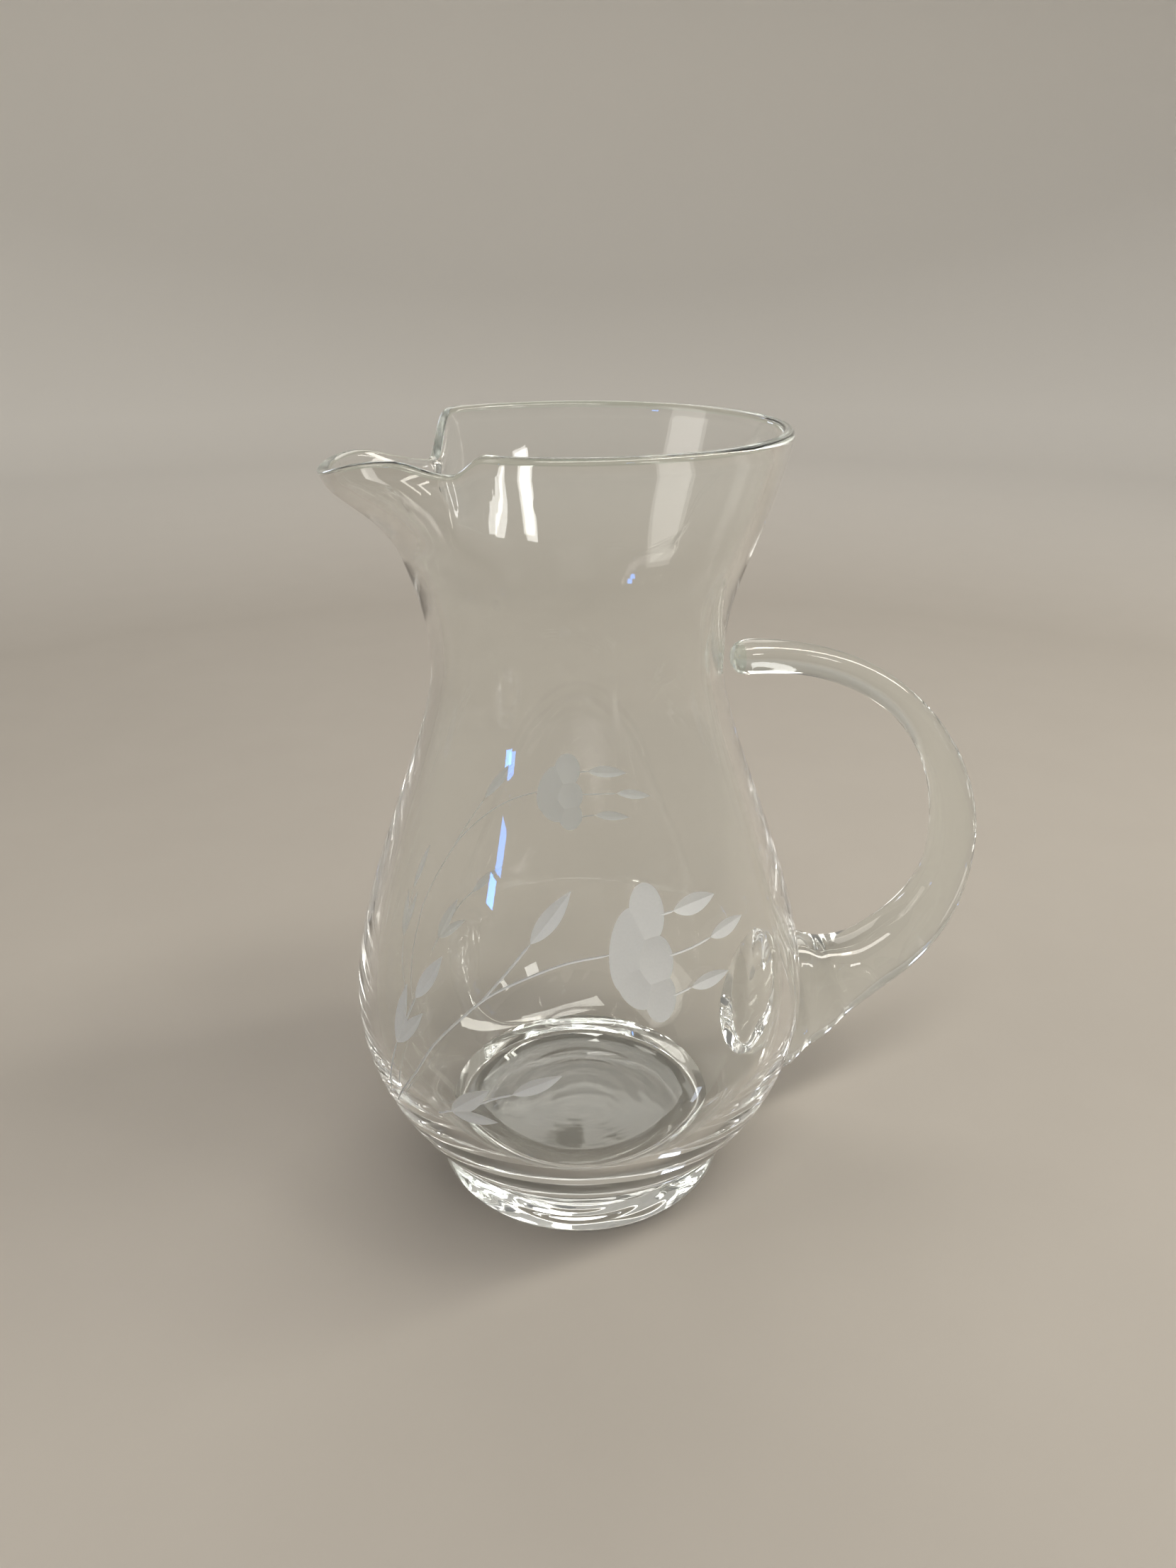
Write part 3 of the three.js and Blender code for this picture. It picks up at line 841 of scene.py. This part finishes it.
def studio_light():
    """Lamps by place, aim and size in metres, radiance and colour. The small ones stand for windows."""
    middle = (0.0, 0.0, 0.12)
    grip = (0.09, 0.0, 0.12)
    lamp("left_window", (-0.94, -0.52, 0.215), middle, (0.08, 0.05), 36.0, "#5C9DFF", grid=40.0)
    lamp("left_panel", (-1.0, -0.05, 0.72), middle, (0.5, 0.8), 2.2, "#FFFBF4")
    lamp("right_window", (0.82, -0.71, 0.69), middle, (0.07, 0.14), 12.0, "#FFFDF8")
    lamp("front_window", (0.46, -0.98, 0.71), middle, (0.18, 0.12), 12.0, "#FFFDF8")
    lamp("ceiling_strip", (0.10, -0.40, 1.05), middle, (1.0, 0.2), 8.5, "#FFFBF4")
    lamp("arch_strip", (0.695, -0.135, 0.74), grip, (0.11, 1.0), 13.0, "#FFFAF0", 29.0)
    lamp("back_panel", (0.2, 0.92, 1.0), middle, (1.1, 0.65), 2.2, "#FFFBF4")
    lamp("back_window", (-0.42, 1.42, 0.37), grip, (0.22, 0.14), 8.0, "#DFE9FF", grid=44.0)
    world = bpy.data.worlds.new("studio_air")
    world.use_nodes = True
    tree = world.node_tree
    tree.nodes.clear()
    place = put(tree, "ShaderNodeTexCoord")
    parts = put(tree, "ShaderNodeSeparateXYZ", {"Vector": place.outputs["Generated"]})
    climb = put(tree, "ShaderNodeMapRange", {"Value": parts.outputs["Z"], "From Min": 0.0,
                                             "From Max": AIR_FULL})
    air = put(tree, "ShaderNodeMix", {"Factor": climb.outputs["Result"], "A": colour("#C8C6C3"),
                                      "B": colour("#F2F2F0")}, data_type="RGBA")
    glow = put(tree, "ShaderNodeBackground", {"Color": air.outputs["Result"], "Strength": AIR_GLOW})
    put(tree, "ShaderNodeOutputWorld", {"Surface": glow.outputs["Background"]})
    bpy.context.scene.world = world


# Camera where the photograph was taken, worked out from the ovals of the rim and the foot.
EYE = Vector((-0.05942, -0.26866, 0.23981))
AHEAD = Vector((0.2047, 0.8866, -0.4147))
ROLL = -0.23
IMAGE_HEIGHT_PX = 2212
FOCAL_PX = 1630.6
SENSOR_MM = 36
NEAREST = 0.01

# Light crosses many walls of glass, and each turn inside one counts as a bounce.
TURNS_IN_GLASS = 64
WALLS_OF_GLASS = 32


def photo_camera():
    """Sets the scene's camera to the photograph's place, direction and angle of view."""
    lens = bpy.data.cameras.new("camera")
    lens.sensor_fit = "VERTICAL"
    lens.sensor_height = SENSOR_MM
    lens.lens = FOCAL_PX / IMAGE_HEIGHT_PX * SENSOR_MM
    lens.clip_start = NEAREST
    camera = bpy.data.objects.new("camera", lens)
    turn = AHEAD.to_track_quat("-Z", "Y").to_matrix().to_4x4()
    camera.matrix_world = Matrix.Translation(EYE) @ turn @ Matrix.Rotation(math.radians(ROLL), 4, "Z")
    bpy.context.scene.collection.objects.link(camera)
    bpy.context.scene.camera = camera


studio_sweep()
studio_light()
photo_camera()

scene = bpy.context.scene
scene.view_settings.view_transform = "Standard"
scene.cycles.max_bounces = TURNS_IN_GLASS
scene.cycles.glossy_bounces = TURNS_IN_GLASS
scene.cycles.transmission_bounces = WALLS_OF_GLASS
scene.cycles.transparent_max_bounces = WALLS_OF_GLASS
